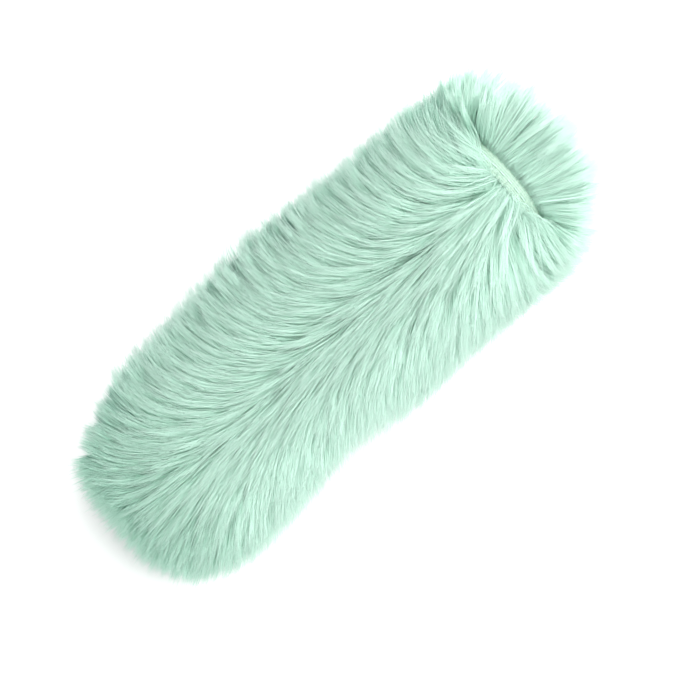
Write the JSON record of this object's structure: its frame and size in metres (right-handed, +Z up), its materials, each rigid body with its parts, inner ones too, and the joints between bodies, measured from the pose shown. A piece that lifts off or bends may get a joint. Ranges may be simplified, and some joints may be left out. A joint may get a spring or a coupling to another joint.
{
  "type": "furry windscreen",
  "caption": "Long-pile fur windscreen for a tube microphone: a closed fur sleeve with an elastic mouth, slipped over a foam core with a rubber boot that grips the microphone.",
  "frame": {"origin": "on the floor, under the middle of the whole length (bottom centre of the bounding box)", "axes": "+X along the sleeve from the closed end to the mouth, +Z up from the floor that it lies on, +Y across"},
  "size_m": [0.266, 0.095, 0.0865],
  "materials": {
    "fur": "matte",
    "backing_cloth": "matte",
    "elastic": "matte",
    "thread": "satin",
    "lining_net": "matte",
    "foam": "matte",
    "boot_rubber": "satin",
    "glue": "satin"
  },
  "bodies": {
    "fur_cover": {"body_backing": "backing_cloth", "body_pile": "fur", "frill_pile": "fur", "end_backing": "backing_cloth", "end_pile": "fur", "elastic_band": "elastic", "elastic_stitches": "thread", "elastic_bar_tack": "thread", "hem_stitches": "thread", "side_seam_stitches": "thread", "end_seam_stitches": "thread", "lining_tube": "lining_net", "lining_end": "lining_net", "lining_side_stitches": "thread", "lining_end_stitches": "thread", "lining_hem_stitches": "thread"},
    "foam_core": {"foam_sleeve": "foam", "foam_nose": "foam", "nose_glue": "glue", "mic_boot": "boot_rubber", "boot_glue": "glue"}
  },
  "joints": [
    {"name": "core_slide", "type": "slide", "parent": "fur_cover", "child": "foam_core", "axis": [1, 0, 0], "range_m": [0, 0.25]}
  ]
}
